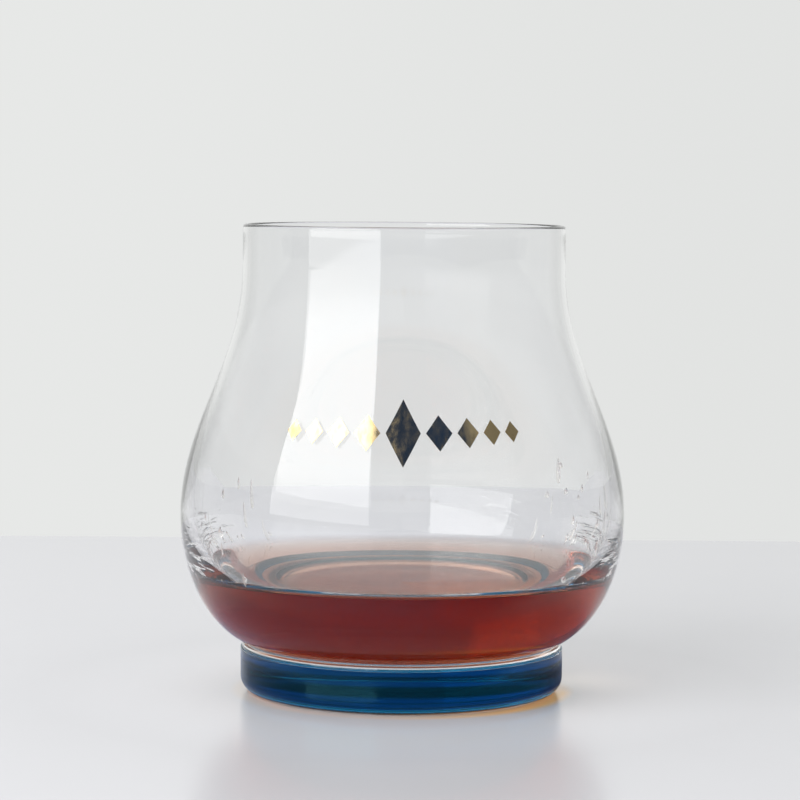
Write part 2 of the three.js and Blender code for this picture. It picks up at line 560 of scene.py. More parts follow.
@dataclass
class Outline:
    """Half a section of a turned piece, as radii and heights, run with the solid on its left."""

    points: list[Vector] = field(default_factory=list)
    contacts: list[Contact] = field(default_factory=list)

    def run(self, points: Iterable[Place], contact: Contact = Contact.AIR) -> "Outline":
        """Runs the outline on through more points.

        Args:
            points: Radii and heights. One that repeats the last point is left out.
            contact: What the stretch up to these points meets.

        Returns:
            The outline itself.
        """
        for point in points:
            place = Vector((point[0], point[1]))
            if self.points and (place - self.points[-1]).length < TOUCHING:
                continue
            self.points.append(place)
            self.contacts.append(contact)
        return self


def arc(centre: Place, radius: float, start: float, end: float, steps: int = 10) -> list[Vector]:
    """Points along a round of an outline.

    Args:
        centre: Radius and height of the round's middle.
        radius: Radius of the round.
        start: First angle in degrees from the outward direction.
        end: Last angle.
        steps: Stretches between the points.

    Returns:
        The points, both ends among them.
    """
    angles = [math.radians(start + (end - start) * step / steps) for step in range(steps + 1)]
    return [Vector((centre[0] + radius * math.cos(a), centre[1] + radius * math.sin(a))) for a in angles]


def bend(start: Place, to: Place, back: Place, end: Place, steps: int = 48) -> list[Vector]:
    """Points along a cubic curve of an outline.

    Args:
        start: First point, as radius and height.
        to: Its handle.
        back: The last point's handle.
        end: Last point.
        steps: Stretches between the points.

    Returns:
        The points, both ends among them.
    """
    flat = [Vector((place[0], place[1])) for place in (start, to, back, end)]
    return list(interpolate_bezier(*flat, steps + 1))


def split_at(points: Sequence[Vector], height: float) -> tuple[list[Vector], list[Vector]]:
    """Splits a rising run of points at a height.

    Args:
        points: The run, from its lowest point up.
        height: Where to split it.

    Returns:
        The points up to the height and those from it, with the point at the height in both.
    """
    above = next(i for i, point in enumerate(points) if point.y > height)
    low, high = points[above - 1], points[above]
    cut = low.lerp(high, (height - low.y) / (high.y - low.y))
    return [*points[:above], cut], [cut, *points[above:]]


@dataclass(frozen=True)
class GlassForm:
    """Sizes of the glass in metres, from the frame where it has them.

    A pull is how far a curve's end carries on in its own direction.
    """

    rim_height: float
    belly_radius: float
    foot_height: float
    foot_glass_radius: float
    foot_radius: float  # over the film
    fill_height: float
    rim_radius: float = 33.2 * MM
    rim_wall: float = 1.2 * MM
    rim_bead: float = 1.25 * MM
    neck_length: float = 8.3 * MM
    neck_pull: float = 21 * MM
    belly_height: float = 36.7 * MM
    belly_pull: float = 19.2 * MM
    hollow_radius: float = 43.3 * MM
    hollow_height: float = 37.7 * MM  # of the hollow's widest ring
    hollow_pull: float = 21 * MM
    tuck_pull: float = 12 * MM
    waist_pull: float = 8.9 * MM
    waist_slope: float = math.radians(21.5)
    crease_round: float = 0.2 * MM
    floor_thickness: float = 3.9 * MM
    floor_radius: float = 18.5 * MM
    floor_pull: float = 13.5 * MM
    corner_pull: float = 14.8 * MM
    foot_edge: float = 3.2 * MM  # round at the foot's lower edge
    foot_shoulder: float = 0.75 * MM  # round at the foot's upper edge
    bare_top: float = 0.25 * MM  # clear strip over the film
    hem: float = 1.8 * MM  # clear strip under the film
    stand_width: float = 1.9 * MM
    punt_depth: float = 1.3 * MM
    punt_power: float = 7
    capillary_length: float = 1.6 * MM
    edge_slope: float = math.radians(62)  # of the whisky's surface at the wall
    level_drop: float = 0.5 * MM

    @classmethod
    def from_frame(cls) -> "GlassForm":
        """Takes the form's main sizes from the boxes of the frame's nodes.

        Returns:
            The form.
        """
        bowl_low, bowl_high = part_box("bowl")
        return cls(
            rim_height=bowl_high[2],
            belly_radius=bowl_high[0],
            foot_height=bowl_low[2],
            foot_glass_radius=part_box("foot")[1][0],
            foot_radius=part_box("foot_lacquer")[1][0],
            fill_height=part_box("whisky")[1][2],
        )

    @property
    def seam_radius(self) -> float:
        """Radius at which the bowl leaves the foot."""
        return self.foot_glass_radius - self.foot_shoulder

    @property
    def stand_radius(self) -> float:
        """Outer radius of the standing ring."""
        return self.foot_radius - self.foot_edge

    @property
    def edge_centre(self) -> Place:
        """Radius and height of the middle of the round at the foot's lower edge."""
        return self.stand_radius, self.foot_edge

    @property
    def hem_angle(self) -> float:
        """Angle in degrees, on that round, at which the film starts."""
        return math.degrees(math.asin(self.hem / self.foot_edge)) - 90

    @property
    def shoulder_height(self) -> float:
        """Height at which the foot's wall turns into its upper round."""
        return self.foot_height - self.foot_shoulder

    @property
    def floor_height(self) -> float:
        """Height of the hollow's floor."""
        return self.foot_height + self.floor_thickness

    @property
    def level(self) -> float:
        """Height of the whisky's flat surface, a little lower than where its edge would average out."""
        return self.fill_height - self.level_drop

    @property
    def contact_height(self) -> float:
        """Height to which the whisky's edge climbs up the wall."""
        return self.level + 2 * self.capillary_length * math.sin(self.edge_slope / 2)

    @property
    def neck_height(self) -> float:
        """Height at which the neck becomes upright."""
        return self.rim_height - self.neck_length

    @property
    def neck_hollow(self) -> float:
        """Inside radius of the neck."""
        return self.rim_radius - self.rim_wall

    def shoulder(self) -> list[Vector]:
        """The outside curve from the belly to the neck.

        Returns:
            Points from the belly up.
        """
        return bend(
            (self.belly_radius, self.belly_height),
            (self.belly_radius, self.belly_height + self.belly_pull),
            (self.rim_radius, self.neck_height - self.neck_pull),
            (self.rim_radius, self.neck_height),
        )

    def hollow_shoulder(self) -> list[Vector]:
        """The inside curve from the hollow's widest ring to the neck.

        Returns:
            Points from the widest ring up.
        """
        return bend(
            (self.hollow_radius, self.hollow_height),
            (self.hollow_radius, self.hollow_height + self.hollow_pull),
            (self.neck_hollow, self.neck_height - self.neck_pull),
            (self.neck_hollow, self.neck_height),
        )

    def crease(self) -> list[Vector]:
        """The round at the bottom of the crease between the foot and the bowl.

        Returns:
            Points from the seam up.
        """
        centre = (self.seam_radius, self.foot_height + self.crease_round)
        return arc(centre, self.crease_round, 270, 90 + math.degrees(self.waist_slope), steps=12)

    def tuck(self) -> list[Vector]:
        """The outside curve from the crease to the belly.

        Returns:
            Points from the crease up.
        """
        start = self.crease()[-1]
        run = self.waist_pull * math.cos(self.waist_slope)
        rise = self.waist_pull * math.sin(self.waist_slope)
        return bend(
            start,
            (start.x + run, start.y + rise),
            (self.belly_radius, self.belly_height - self.tuck_pull),
            (self.belly_radius, self.belly_height),
        )

    def corner(self) -> list[Vector]:
        """The inside curve from the hollow's floor to its widest ring.

        Returns:
            Points from the floor up.
        """
        return bend(
            (self.floor_radius, self.floor_height),
            (self.floor_radius + self.floor_pull, self.floor_height),
            (self.hollow_radius, self.hollow_height - self.corner_pull),
            (self.hollow_radius, self.hollow_height),
        )

    def rim(self) -> list[Vector]:
        """The round of the rim and the inside of its bead.

        Returns:
            Points from the outside over the rim and down to the hollow.
        """
        lip = self.rim_bead / 2
        inside = self.rim_radius - self.rim_bead
        over = arc((self.rim_radius - lip, self.rim_height - lip), lip, 0, 180, steps=20)
        bead = bend(
            (inside, self.rim_height - lip),
            (inside, self.rim_height - self.rim_bead),
            (self.neck_hollow, self.rim_height - self.rim_bead),
            (self.neck_hollow, self.rim_height - 2 * self.rim_bead),
            steps=12,
        )
        return [*over, *bead]

    def punt(self, steps: int = 40) -> list[Vector]:
        """The recess of the underside, level in its middle and rounded down to the standing ring.

        Args:
            steps: Stretches between the points.

        Returns:
            Points from the middle to the ring.
        """
        radius = self.stand_radius - self.stand_width
        shares = [step / steps for step in range(steps + 1)]
        return [Vector((radius * share, self.punt_depth * (1 - share**self.punt_power))) for share in shares]


def settle(piece: Piece, sharp: float) -> None:
    """Turns a piece's modifiers into a plain mesh.

    Args:
        piece: The piece, with its modifiers live.
        sharp: Angle from which an edge stays sharp.
    """
    live = piece.evaluated_get(bpy.context.evaluated_depsgraph_get())
    mesh = bpy.data.meshes.new_from_object(live)
    piece.modifiers.clear()
    piece.data = mesh
    mesh.name = piece.name
    if mesh.materials and mesh.materials[0] is None:
        mesh.materials.pop(index=0)
    mesh.set_sharp_from_angle(angle=sharp)


def enrol(piece: Piece, nodes: Sequence[str] = ()) -> None:
    """Rides a piece on the part and reports it.

    Args:
        piece: The finished piece.
        nodes: The frame's nodes that it stands for.
    """
    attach(piece, BODY)
    if nodes:
        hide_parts(*nodes)
    LOG.info("%s: %d faces, for %s", piece.name, len(piece.data.polygons), ", ".join(nodes) or "no node")


def show(name: str, data: bpy.types.ID) -> Piece:
    """Puts data into the scene.

    Args:
        name: Name of the object.
        data: Its mesh, lamp or camera.

    Returns:
        The object, at the origin.
    """
    shown = bpy.data.objects.new(name, data)
    bpy.context.scene.collection.objects.link(shown)
    return shown


def new_piece(
    name: str,
    points: Sequence[Place] = (),
    edges: Sequence[Sequence[int]] = (),
    faces: Sequence[Sequence[int]] = (),
) -> Piece:
    """Makes a mesh object at the origin.

    Args:
        name: Name of the object and its mesh.
        points: Places of its points.
        edges: Pairs of points that are joined.
        faces: Rings of points that are filled.

    Returns:
        The object.
    """
    mesh = bpy.data.meshes.new(name)
    mesh.from_pydata(points, edges, faces)
    return show(name, mesh)


class PieceTree:
    """A Geometry Nodes tree with named inputs, set on a piece by their identifiers."""

    name = "piece_tree"
    sharp = math.radians(30)
    inputs: dict[str, SocketKind] = {}

    def __init__(self) -> None:
        """Makes the tree with its inputs and writes its nodes."""
        self.tree = bpy.data.node_groups.new(self.name, "GeometryNodeTree")
        self.nodes = NodeWriter(self.tree)
        self.socket("Geometry", SocketKind.GEOMETRY)
        self.socket("Geometry", SocketKind.GEOMETRY, way="OUTPUT")
        self.identifiers = {label: self.socket(label, kind) for label, kind in self.inputs.items()}
        entry = self.tree.nodes.new("NodeGroupInput")
        given = {socket.name: socket for socket in entry.outputs}
        result = self.tree.nodes.new("NodeGroupOutput")
        self.nodes.feed(result.inputs[0], self.write(given))

    def socket(self, label: str, kind: SocketKind, way: str = "INPUT") -> str:
        """Adds an input or output to the tree and returns its identifier."""
        return self.tree.interface.new_socket(label, in_out=way, socket_type=kind.value).identifier

    def write(self, given: dict[str, Socket]) -> Socket:
        """Writes the tree's nodes.

        Args:
            given: The tree's inputs by label.

        Returns:
            The geometry that the tree gives.
        """
        raise NotImplementedError

    def dressed(self, skin: Socket, finish: Socket) -> Socket:
        """Ends a tree: smooth, with its copies made real and its finish set.

        Args:
            skin: The geometry.
            finish: The material.

        Returns:
            The finished geometry.
        """
        skin = self.nodes.add("GeometryNodeSetShadeSmooth", skin)
        skin = self.nodes.add("GeometryNodeRealizeInstances", skin)
        return self.nodes.add("GeometryNodeSetMaterial", skin, None, finish)

    def apply(self, piece: Piece, sizes: object) -> None:
        """Runs the tree on a piece and keeps the result as its plain mesh.

        Args:
            piece: The piece to work on.
            sizes: What holds a value for each input, in a field or property named as the input is.
        """
        modifier = piece.modifiers.new(self.name, "NODES")
        modifier.node_group = self.tree
        for label, identifier in self.identifiers.items():
            modifier[identifier] = getattr(sizes, label.lower().replace(" ", "_"))
        settle(piece, self.sharp)


class TurnTree(PieceTree):
    """Turns an outline in the XZ plane about z into a closed skin."""

    name = "turn_outline"
    inputs = {
        "Steps": SocketKind.INT,
        **SocketKind.MATERIAL.each("Open Finish", "Joined Finish", "Wet Finish"),
    }

    def write(self, given: dict[str, Socket]) -> Socket:
        """Writes the turning.

        Args:
            given: The tree's inputs by label.

        Returns:
            The turned skin.
        """
        nodes = self.nodes
        outline, steps = given["Geometry"], given["Steps"]
        count = nodes.add("GeometryNodeAttributeDomainSize", outline, component="MESH")
        grid = nodes.add("GeometryNodeMeshGrid", 1, 1, nodes.calc("ADD", steps, 1), count)
        index = nodes.add("GeometryNodeInputIndex")
        row = nodes.calc("FLOORED_MODULO", index, count)
        # Half an index keeps the column clear of rounding
        column = nodes.calc("FLOOR", nodes.calc("DIVIDE", nodes.calc("ADD", index, 0.5), count))
        place = nodes.add("GeometryNodeInputPosition")
        place = nodes.add("GeometryNodeSampleIndex", outline, place, row, data_type="FLOAT_VECTOR")
        part = nodes.parts(place)
        angle = nodes.calc("DIVIDE", nodes.product(column, math.tau), steps)
        x, y = (nodes.product(part["X"], nodes.calc(way, angle)) for way in ("COSINE", "SINE"))
        skin = nodes.add("GeometryNodeSetPosition", grid, None, nodes.joined(x, y, part["Z"]))

        name = Attribute.CONTACT.value
        contact = nodes.add("GeometryNodeInputNamedAttribute", name)
        last = nodes.calc("ADD", nodes.calc("FLOORED_MODULO", index, nodes.calc("SUBTRACT", count, 1)), 1)
        met = nodes.add("GeometryNodeSampleIndex", outline, contact, last, data_type="FLOAT")
        skin = nodes.add(
            "GeometryNodeStoreNamedAttribute", skin, None, name, met, data_type="FLOAT", domain="FACE"
        )
        skin = nodes.add("GeometryNodeMergeByDistance", skin, None, TOUCHING)
        skin = self.dressed(skin, given["Open Finish"])
        for least, finish in ((Contact.PIECE, "Joined Finish"), (Contact.DROPS, "Wet Finish")):
            contact = nodes.add("GeometryNodeInputNamedAttribute", name)
            there = nodes.calc("GREATER_THAN", contact, least - 0.5)
            skin = nodes.add("GeometryNodeSetMaterial", skin, there, given[finish])
        return skin


@dataclass(frozen=True)
class Turning:
    """What the turning tree is told about a piece."""

    steps: int
    open_finish: bpy.types.Material
    joined_finish: bpy.types.Material
    wet_finish: bpy.types.Material


@dataclass
class Lathe:
    """Makes turned pieces from outlines."""

    steps: int = 256
    tree: TurnTree = field(default_factory=TurnTree)

    def turn(
        self,
        name: str,
        outline: Outline,
        finish: Finish,
        joined: Finish = JOINED_FACE,
        wet: Finish | None = None,
    ) -> Piece:
        """Turns an outline.

        Args:
            name: Name of the piece.
            outline: Half of its section.
            finish: Finish of the faces in the air.
            joined: Finish of the faces on another piece.
            wet: Finish of the faces under drops, if there are any.

        Returns:
            The turned piece.
        """
        points = [(point.x, 0, point.y) for point in outline.points]
        edges = [(i, i + 1) for i in range(len(points) - 1)]
        piece = new_piece(name, points, edges)
        values = piece.data.attributes.new(Attribute.CONTACT.value, "FLOAT", "POINT")
        values.data.foreach_set("value", [float(contact) for contact in outline.contacts])
        materials = [each.material() for each in (finish, joined, wet or finish)]
        self.tree.apply(piece, Turning(self.steps, *materials))
        return piece


@dataclass
class Glassware:
    """The clear bowl and the clear foot under it."""

    form: GlassForm
    lathe: Lathe

    def bowl(self) -> Piece:
        """Builds and dresses the bowl.

        Returns:
            The bowl's piece.
        """
        form = self.form
        wetted = WettedGlass("wetted_glass", lowest=form.contact_height, wall_radius=form.hollow_radius)
        covered, dry = split_at(form.corner(), form.contact_height)
        splashed, clean = split_at(form.hollow_shoulder(), wetted.lowest + wetted.height)
        outline = Outline()
        outline.run([(0, form.foot_height), (form.seam_radius, form.foot_height)], Contact.PIECE)
        outline.run(form.crease()).run(form.tuck()).run(form.shoulder()).run(form.rim())
        outline.run(reversed(clean)).run([*reversed(splashed), *reversed(dry)], Contact.DROPS)
        outline.run([*reversed(covered), (0, form.floor_height)], Contact.PIECE)
        piece = self.lathe.turn("glass_bowl", outline, CLEAR_GLASS, wet=wetted)
        enrol(piece, ["bowl"])
        return piece

    def foot(self) -> Piece:
        """Builds and dresses the foot.

        Returns:
            The foot's piece.
        """
        form = self.form
        wall = form.foot_glass_radius
        edge = form.foot_edge - (form.foot_radius - wall)
        outline = Outline()
        outline.run(form.punt()).run([(form.stand_radius, 0)])
        outline.run(arc(form.edge_centre, edge, -90, form.hem_angle, steps=6))
        outline.run(arc(form.edge_centre, edge, form.hem_angle, 0), Contact.PIECE)
        outline.run([(wall, form.shoulder_height - form.bare_top)], Contact.PIECE)
        outline.run([(wall, form.shoulder_height)])
        outline.run(arc((form.seam_radius, form.shoulder_height), form.foot_shoulder, 0, 90))
        outline.run([(0, form.foot_height)], Contact.PIECE)
        piece = self.lathe.turn("glass_foot", outline, CLEAR_GLASS)
        enrol(piece, ["foot"])
        return piece


@dataclass
class FootLacquer:
    """The blue film round the foot's wall and lower edge."""

    form: GlassForm
    lathe: Lathe
    thickness: float = 0.25 * MM
    edge_steps: int = 16

    def build(self) -> Piece:
        """Builds and dresses the film.

        Returns:
            The film's piece.
        """
        form, steps = self.form, self.edge_steps
        top = form.shoulder_height - form.bare_top
        outside = arc(form.edge_centre, form.foot_edge, form.hem_angle, 0, steps)
        inside = arc(form.edge_centre, form.foot_edge - self.thickness, 0, form.hem_angle, steps)
        outline = Outline()
        outline.run(outside).run([(form.foot_radius, top), (form.foot_radius - self.thickness, top)])
        outline.run([*inside, outside[0]], Contact.PIECE)
        piece = self.lathe.turn("blue_foot_lacquer", outline, BLUE_LACQUER, BLUE_BACKING)
        enrol(piece, ["foot_lacquer"])
        return piece


@dataclass
class Pour:
    """The whisky in the bowl, with the edge that it draws up the wall."""

    form: GlassForm
    lathe: Lathe
    gap: float = 0.02 * MM  # between the whisky and the glass
    edge_steps: int = 40
    edge_ease: float = 0.9  # of a slope to the one before it

    def edge(self, start: Vector) -> list[Vector]:
        """The climbing edge of the surface, by the rule for a liquid on a wall.

        Args:
            start: The point where it meets the wall.

        Returns:
            Points from the wall to where the surface lies level.
        """
        form, length = self.form, self.form.capillary_length

        def away(slope: float) -> float:
            """Distance along the level, from a fixed place, at which the surface has a slope."""
            return length * (math.log(1 / math.tan(slope / 4)) - 2 * math.cos(slope / 2))

        slopes = [form.edge_slope * self.edge_ease**step for step in range(self.edge_steps + 1)]
        return [
            Vector((start.x + away(slopes[0]) - away(slope), form.level + 2 * length * math.sin(slope / 2)))
            for slope in slopes
        ]

    def build(self) -> Piece:
        """Builds and dresses the whisky.

        Returns:
            The whisky's piece.
        """
        form = self.form
        covered, _ = split_at(form.corner(), form.contact_height)
        floor = form.floor_height + self.gap
        wall = [Vector((point.x - self.gap, max(point.y, floor))) for point in covered]
        outline = Outline()
        outline.run([(0, floor), *wall], Contact.PIECE)
        outline.run([*self.edge(wall[-1]), (0, form.level)])
        piece = self.lathe.turn("whisky_pour", outline, WHISKY, WHISKY)
        enrol(piece, ["whisky"])
        return piece


class WallTree(PieceTree):
    """A tree that wraps a layout onto the bowl's wall."""

    ray_reach = 80 * MM

    def wrap(self, layout: Socket, bowl: Socket, inside: bool) -> Socket:
        """Wraps a layout onto the wall.

        Args:
            layout: Geometry placed by its angle from the front, its lift off the wall and its height.
            bowl: The bowl as an object.
            inside: Whether it goes on the inside of the wall.

        Returns:
            The geometry on the wall.
        """
        nodes = self.nodes
        wall = nodes.add("GeometryNodeObjectInfo", bowl).node.outputs["Geometry"]
        part = nodes.parts(nodes.add("GeometryNodeInputPosition"))
        sine, cosine = (nodes.calc(way, part["X"]) for way in ("SINE", "COSINE"))
        outward = nodes.joined(sine, nodes.product(cosine, -1), 0)
        start = 0 if inside else self.ray_reach
        source = nodes.vector("MULTIPLY_ADD", outward, (start,) * 3, nodes.joined(0, 0, part["Z"]))
        ray = outward if inside else nodes.vector("MULTIPLY", outward, (-1, -1, -1))
        hit = nodes.add("GeometryNodeRaycast", wall, None, source, ray, self.ray_reach).node.outputs
        lift = nodes.joined(part["Y"], part["Y"], part["Y"])
        place = nodes.vector("MULTIPLY_ADD", hit["Hit Normal"], lift, hit["Hit Position"])
        return nodes.add("GeometryNodeSetPosition", layout, None, place)

    def copies(self, spots: Socket, shape: Socket, scale: Socket) -> Socket:
        """Sets a copy of a shape on each spot.

        Args:
            spots: Points of the layout.
            shape: What is copied.
            scale: Each copy's scale along the layout's angle, lift and height.

        Returns:
            The copies as one mesh.
        """
        each = self.nodes.add("GeometryNodeInstanceOnPoints", spots, None, shape, None, None, None, scale)
        return self.nodes.add("GeometryNodeRealizeInstances", each)


class GiltRowTree(WallTree):
    """Lays a row of lozenges, smaller to both sides, on the front of the bowl."""

    name = "gilt_row"
    sharp = math.radians(40)
    inputs = {
        **SocketKind.FLOAT.each("Row Height", "Row Radius", "Lift", "Thickness", "Shrink", "Spacing"),
        **SocketKind.FLOAT.each("Middle Half Width", "Middle Half Height"),
        **SocketKind.FLOAT.each("Side Half Width", "Side Half Height"),
        **SocketKind.INT.each("Side Count", "Steps"),
        "Bowl": SocketKind.OBJECT,
        "Gilding": SocketKind.MATERIAL,
    }

    def lozenge(self, steps: Socket) -> Socket:
        """A square net turned onto its corner, one unit from its middle to each tip.

        Args:
            steps: Points along each side.

        Returns:
            The net, upright in the XZ plane.
        """
        nodes = self.nodes
        net = nodes.add("GeometryNodeMeshGrid", 2, 2, steps, steps)
        part = nodes.parts(nodes.add("GeometryNodeInputPosition"))
        x, z = (nodes.product(nodes.calc(way, part["X"], part["Y"]), 0.5) for way in ("SUBTRACT", "ADD"))
        return nodes.add("GeometryNodeSetPosition", net, None, nodes.joined(x, 0, z))

    def row(self, given: dict[str, Socket]) -> Socket:
        """The row laid out by angles from the front, lifts and heights.

        Args:
            given: The tree's inputs by label.

        Returns:
            The lozenges as one mesh.
        """
        nodes = self.nodes
        sides, radius = given["Side Count"], given["Row Radius"]
        line = nodes.add("GeometryNodeMeshLine", nodes.calc("MULTIPLY_ADD", sides, 2, 1))
        step = nodes.calc("SUBTRACT", nodes.add("GeometryNodeInputIndex"), sides)
        place = nodes.calc("ABSOLUTE", step)
        beside = nodes.calc("GREATER_THAN", place, 0.5)
        shrink = nodes.calc("POWER", given["Shrink"], nodes.calc("SUBTRACT", place, 1))

        def sized(side: str) -> Socket:
            """A size of each lozenge: the middle one's own, or the side one's shrunk by its place."""
            return nodes.mix(beside, given[f"Middle {side}"], nodes.product(given[f"Side {side}"], shrink))

        half_width, half_height = sized("Half Width"), sized("Half Height")
        lost, lost_each = (nodes.calc("SUBTRACT", 1, share) for share in (shrink, given["Shrink"]))
        passed = nodes.calc("DIVIDE", lost, lost_each)
        widths = nodes.product(nodes.product(given["Side Half Width"], 2), passed)
        gaps = nodes.calc("MULTIPLY_ADD", place, given["Spacing"], given["Middle Half Width"])
        reach = nodes.calc("ADD", nodes.calc("ADD", gaps, widths), half_width)
        angle = nodes.calc("DIVIDE", nodes.product(reach, nodes.calc("SIGN", step)), radius)
        spot = nodes.joined(angle, given["Lift"], given["Row Height"])
        spots = nodes.add("GeometryNodeSetPosition", line, None, spot)
        scale = nodes.joined(nodes.calc("DIVIDE", half_width, radius), 1, half_height)
        return self.copies(spots, self.lozenge(given["Steps"]), scale)

    def write(self, given: dict[str, Socket]) -> Socket:
        """Writes the gilt row.

        Args:
            given: The tree's inputs by label.

        Returns:
            The films on the wall.
        """
        nodes = self.nodes
        sheet = self.wrap(self.row(given), given["Bowl"], inside=False)
        raised = nodes.add("GeometryNodeExtrudeMesh", sheet, None, None, given["Thickness"], False)
        both = nodes.add("GeometryNodeJoinGeometry", raised)
        nodes.feed(both.node.inputs[0], nodes.add("GeometryNodeFlipFaces", sheet))
        film = nodes.add("GeometryNodeMergeByDistance", both, None, TOUCHING)
        return self.dressed(film, given["Gilding"])


@dataclass
class GiltRow:
    """The row of gilt lozenges on the bowl's front."""

    bowl: Piece
    form: GlassForm
    row_height: float = 57 * MM
    lift: float = 0.02 * MM
    thickness: float = 0.06 * MM
    middle_half_width: float = 3.4 * MM
    middle_half_height: float = 6.4 * MM
    side_half_width: float = 2.6 * MM
    side_half_height: float = 3.4 * MM
    shrink: float = 0.84  # of each lozenge to the one before it
    spacing: float = 1 * MM
    side_count: int = 4
    steps: int = 13

    @property
    def row_radius(self) -> float:
        """Outside radius of the bowl at the row's height."""
        return split_at(self.form.shoulder(), self.row_height)[1][0].x

    @property
    def gilding(self) -> bpy.types.Material:
        """Material of the lozenges."""
        return GILDING.material()

    def build(self) -> Piece:
        """Builds and dresses the row.

        Returns:
            The row's piece.
        """
        piece = new_piece("gilt_row")
        GiltRowTree().apply(piece, self)
        enrol(piece, [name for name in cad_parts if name.startswith("gilt_lozenge")])
        return piece


class Chance(IntEnum):
    """What is left to chance on a drop. Each number sets that chance apart from the others."""

    SIDE = 1
    CLIMB = 2
    WIDTH = 3
    STRETCH = 4
    SPREAD = 5


class LegsTree(WallTree):
    """Scatters drops and legs of whisky on the inside of the bowl, more of them at its sides."""

    name = "whisky_legs"
    sharp = math.radians(80)
    inputs = {
        **SocketKind.FLOAT.each("Lowest", "Highest", "Spread", "Wall Radius", "Gap"),
        **SocketKind.FLOAT.each("Narrowest", "Widest", "Longest", "Flatness", "Taper"),
        **SocketKind.INT.each("Count", "Seed"),
        "Bowl": SocketKind.OBJECT,
        "Drop Finish": SocketKind.MATERIAL,
    }
    left_to_right: Span = (-1.0, 1.2)  # a few more on the right
    climb_power = 2  # gathers the drops low down
    stretch_power = 3  # keeps most of them short
    drop_segments = 10
    drop_rings = 6

    def drop(self, taper: Socket) -> Socket:
        """A ball of unit radius that narrows to its top and is flat where it lies on the wall.

        Args:
            taper: Share of its width lost at the top and gained at the foot.

        Returns:
            The drop.
        """
        nodes = self.nodes
        ball = nodes.add("GeometryNodeMeshUVSphere", self.drop_segments, self.drop_rings, 1)
        part = nodes.parts(nodes.add("GeometryNodeInputPosition"))
        width = nodes.calc("SUBTRACT", 1, nodes.product(part["Z"], taper))
        off = nodes.product(nodes.calc("MAXIMUM", part["Y"], 0), width)
        place = nodes.joined(nodes.product(part["X"], width), off, part["Z"])
        return nodes.add("GeometryNodeSetPosition", ball, None, place)

    def write(self, given: dict[str, Socket]) -> Socket:
        """Writes the legs.

        Args:
            given: The tree's inputs by label.

        Returns:
            The drops on the wall.
        """
        nodes = self.nodes

        def chance(which: Chance, low: object = 0.0, high: object = 1.0) -> Socket:
            """A seeded chance for each point, from a least to a largest value."""
            seed = nodes.calc("ADD", given["Seed"], which)
            return nodes.add("FunctionNodeRandomValue", low, high, None, seed)

        line = nodes.add("GeometryNodeMeshLine", given["Count"])
        side = nodes.calc("SIGN", chance(Chance.SIDE, *self.left_to_right))
        spread = nodes.product(chance(Chance.SPREAD, -1.0), given["Spread"])
        angle = nodes.calc("MULTIPLY_ADD", side, math.pi / 2, spread)
        climb = nodes.calc("POWER", chance(Chance.CLIMB), self.climb_power)
        reach = nodes.calc("SUBTRACT", given["Highest"], given["Lowest"])
        height = nodes.calc("MULTIPLY_ADD", climb, reach, given["Lowest"])
        spot = nodes.joined(angle, given["Gap"], height)
        spots = nodes.add("GeometryNodeSetPosition", line, None, spot)
        width = chance(Chance.WIDTH, given["Narrowest"], given["Widest"])
        stretch = nodes.calc("POWER", chance(Chance.STRETCH), self.stretch_power)
        length = nodes.calc("MULTIPLY_ADD", stretch, given["Longest"], width)
        turn = nodes.calc("DIVIDE", width, given["Wall Radius"])
        scale = nodes.joined(turn, nodes.product(width, given["Flatness"]), length)
        drops = self.copies(spots, self.drop(given["Taper"]), scale)
        return self.dressed(self.wrap(drops, given["Bowl"], inside=True), given["Drop Finish"])


@dataclass
class WhiskyLegs:
    """Drops and legs that the whisky left on the wall above it."""

    bowl: Piece
    form: GlassForm
    reach: float = 16 * MM  # from the lowest drop to the highest
    spread: float = math.radians(45)
    gap: float = 0.01 * MM
    narrowest: float = 0.2 * MM
    widest: float = 0.7 * MM
    longest: float = 3 * MM
    flatness: float = 0.45
    taper: float = 0.5
    count: int = 80
    seed: int = 11

    @property
    def lowest(self) -> float:
        """Height of the lowest drop."""
        return self.form.contact_height + self.widest

    @property
    def highest(self) -> float:
        """Height of the highest drop."""
        return self.lowest + self.reach

    @property
    def wall_radius(self) -> float:
        """Radius of the wall that the drops lie on."""
        return self.form.hollow_radius

    @property
    def drop_finish(self) -> bpy.types.Material:
        """Material of the drops."""
        return THIN_WHISKY.material()

    def build(self) -> Piece:
        """Builds and dresses the legs.

        Returns:
            The legs' piece.
        """
        piece = new_piece("whisky_legs")
        LegsTree().apply(piece, self)
        enrol(piece)
        return piece


